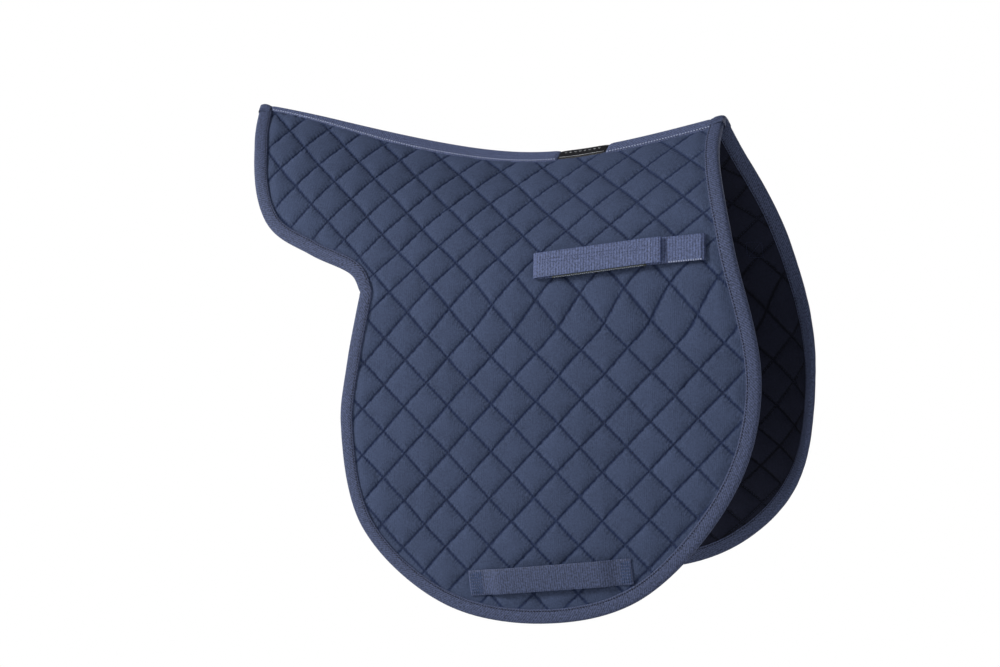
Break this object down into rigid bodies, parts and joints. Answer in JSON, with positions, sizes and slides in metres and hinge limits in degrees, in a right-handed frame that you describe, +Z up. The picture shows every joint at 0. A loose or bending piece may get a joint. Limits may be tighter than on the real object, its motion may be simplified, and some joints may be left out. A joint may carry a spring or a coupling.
{
  "type": "saddle pad",
  "caption": "Quilted saddle pad with bound edges, a hook-and-loop strap near the top of each side and a webbing girth keeper near the bottom.",
  "frame": {"origin": "on the spine plane, against the underside of the pad at the lowest point of its dip, where it rests on the horse's back", "axes": "+X forward towards the withers, +Y to the horse's left, +Z up"},
  "size_m": [0.7047, 0.2624, 0.6102],
  "materials": {
    "quilted_cotton": "matt navy cotton, quilted in diamonds",
    "lining_cotton": "matt navy cotton lining, quilted in diamonds",
    "wadding": "soft white polyester wadding, hidden between cover and lining",
    "binding_tape": "navy ribbed tape with a slight sheen",
    "webbing": "navy woven webbing with a soft sheen",
    "hook_and_loop": "black hook-and-loop tape",
    "thread": "blue sewing thread",
    "label": "black woven label, plain with a few silver threads"
  },
  "bodies": {
    "spine": {"spine_seam": "quilted_cotton", "spine_tape_front": "binding_tape", "spine_tape_rear": "binding_tape", "spine_label": "label", "gullet_tape": "binding_tape", "front_centre_binding": "binding_tape", "rear_centre_binding": "binding_tape"},
    "right_side": {"right_cover": "quilted_cotton", "right_wadding": "wadding", "right_lining": "lining_cotton", "right_front_binding": "binding_tape", "right_rear_binding": "binding_tape", "right_strap_base": "webbing", "right_strap_stitching": "thread", "right_girth_keeper": "webbing", "right_keeper_front_stitching": "thread", "right_keeper_rear_stitching": "thread"},
    "right_tab": {"right_strap_tab": "webbing", "right_hook_tape": "hook_and_loop"},
    "right_loop": {"right_strap_loop": "webbing", "right_loop_tape": "hook_and_loop"},
    "left_side": {"left_cover": "quilted_cotton", "left_wadding": "wadding", "left_lining": "lining_cotton", "left_front_binding": "binding_tape", "left_rear_binding": "binding_tape", "left_strap_base": "webbing", "left_strap_stitching": "thread", "left_girth_keeper": "webbing", "left_keeper_front_stitching": "thread", "left_keeper_rear_stitching": "thread"},
    "left_tab": {"left_strap_tab": "webbing", "left_hook_tape": "hook_and_loop"},
    "left_loop": {"left_strap_loop": "webbing", "left_loop_tape": "hook_and_loop"}
  },
  "joints": [
    {"name": "right_side_fold", "type": "hinge", "parent": "spine", "child": "right_side", "pos_m": [-0.0765, 0, 0.0602], "axis": [-0.9985, 0, 0.0548], "range_deg": [0, 75]},
    {"name": "left_side_fold", "type": "hinge", "parent": "spine", "child": "left_side", "pos_m": [-0.0765, 0, 0.0602], "axis": [0.9985, 0, -0.0548], "range_deg": [0, 75]},
    {"name": "right_tab_fold", "type": "hinge", "parent": "right_side", "child": "right_tab", "pos_m": [0.04499, -0.11845, -0.11876], "axis": [0.0814, -0.2381, -0.9678], "range_deg": [0, 165]},
    {"name": "right_loop_fold", "type": "hinge", "parent": "right_side", "child": "right_loop", "pos_m": [0.2416, -0.11954, -0.10196], "axis": [-0.0814, 0.2381, 0.9678], "range_deg": [0, 82.5]},
    {"name": "left_tab_fold", "type": "hinge", "parent": "left_side", "child": "left_tab", "pos_m": [0.04828, 0.11925, -0.11876], "axis": [-0.0814, -0.2381, 0.9678], "range_deg": [0, 165]},
    {"name": "left_loop_fold", "type": "hinge", "parent": "left_side", "child": "left_loop", "pos_m": [0.24489, 0.12034, -0.10196], "axis": [0.0814, 0.2381, -0.9678], "range_deg": [0, 82.5]}
  ],
  "couplings": [
    {"joint": "right_loop_fold", "follows": "right_tab_fold", "ratio": 0.5},
    {"joint": "left_loop_fold", "follows": "left_tab_fold", "ratio": 0.5}
  ]
}
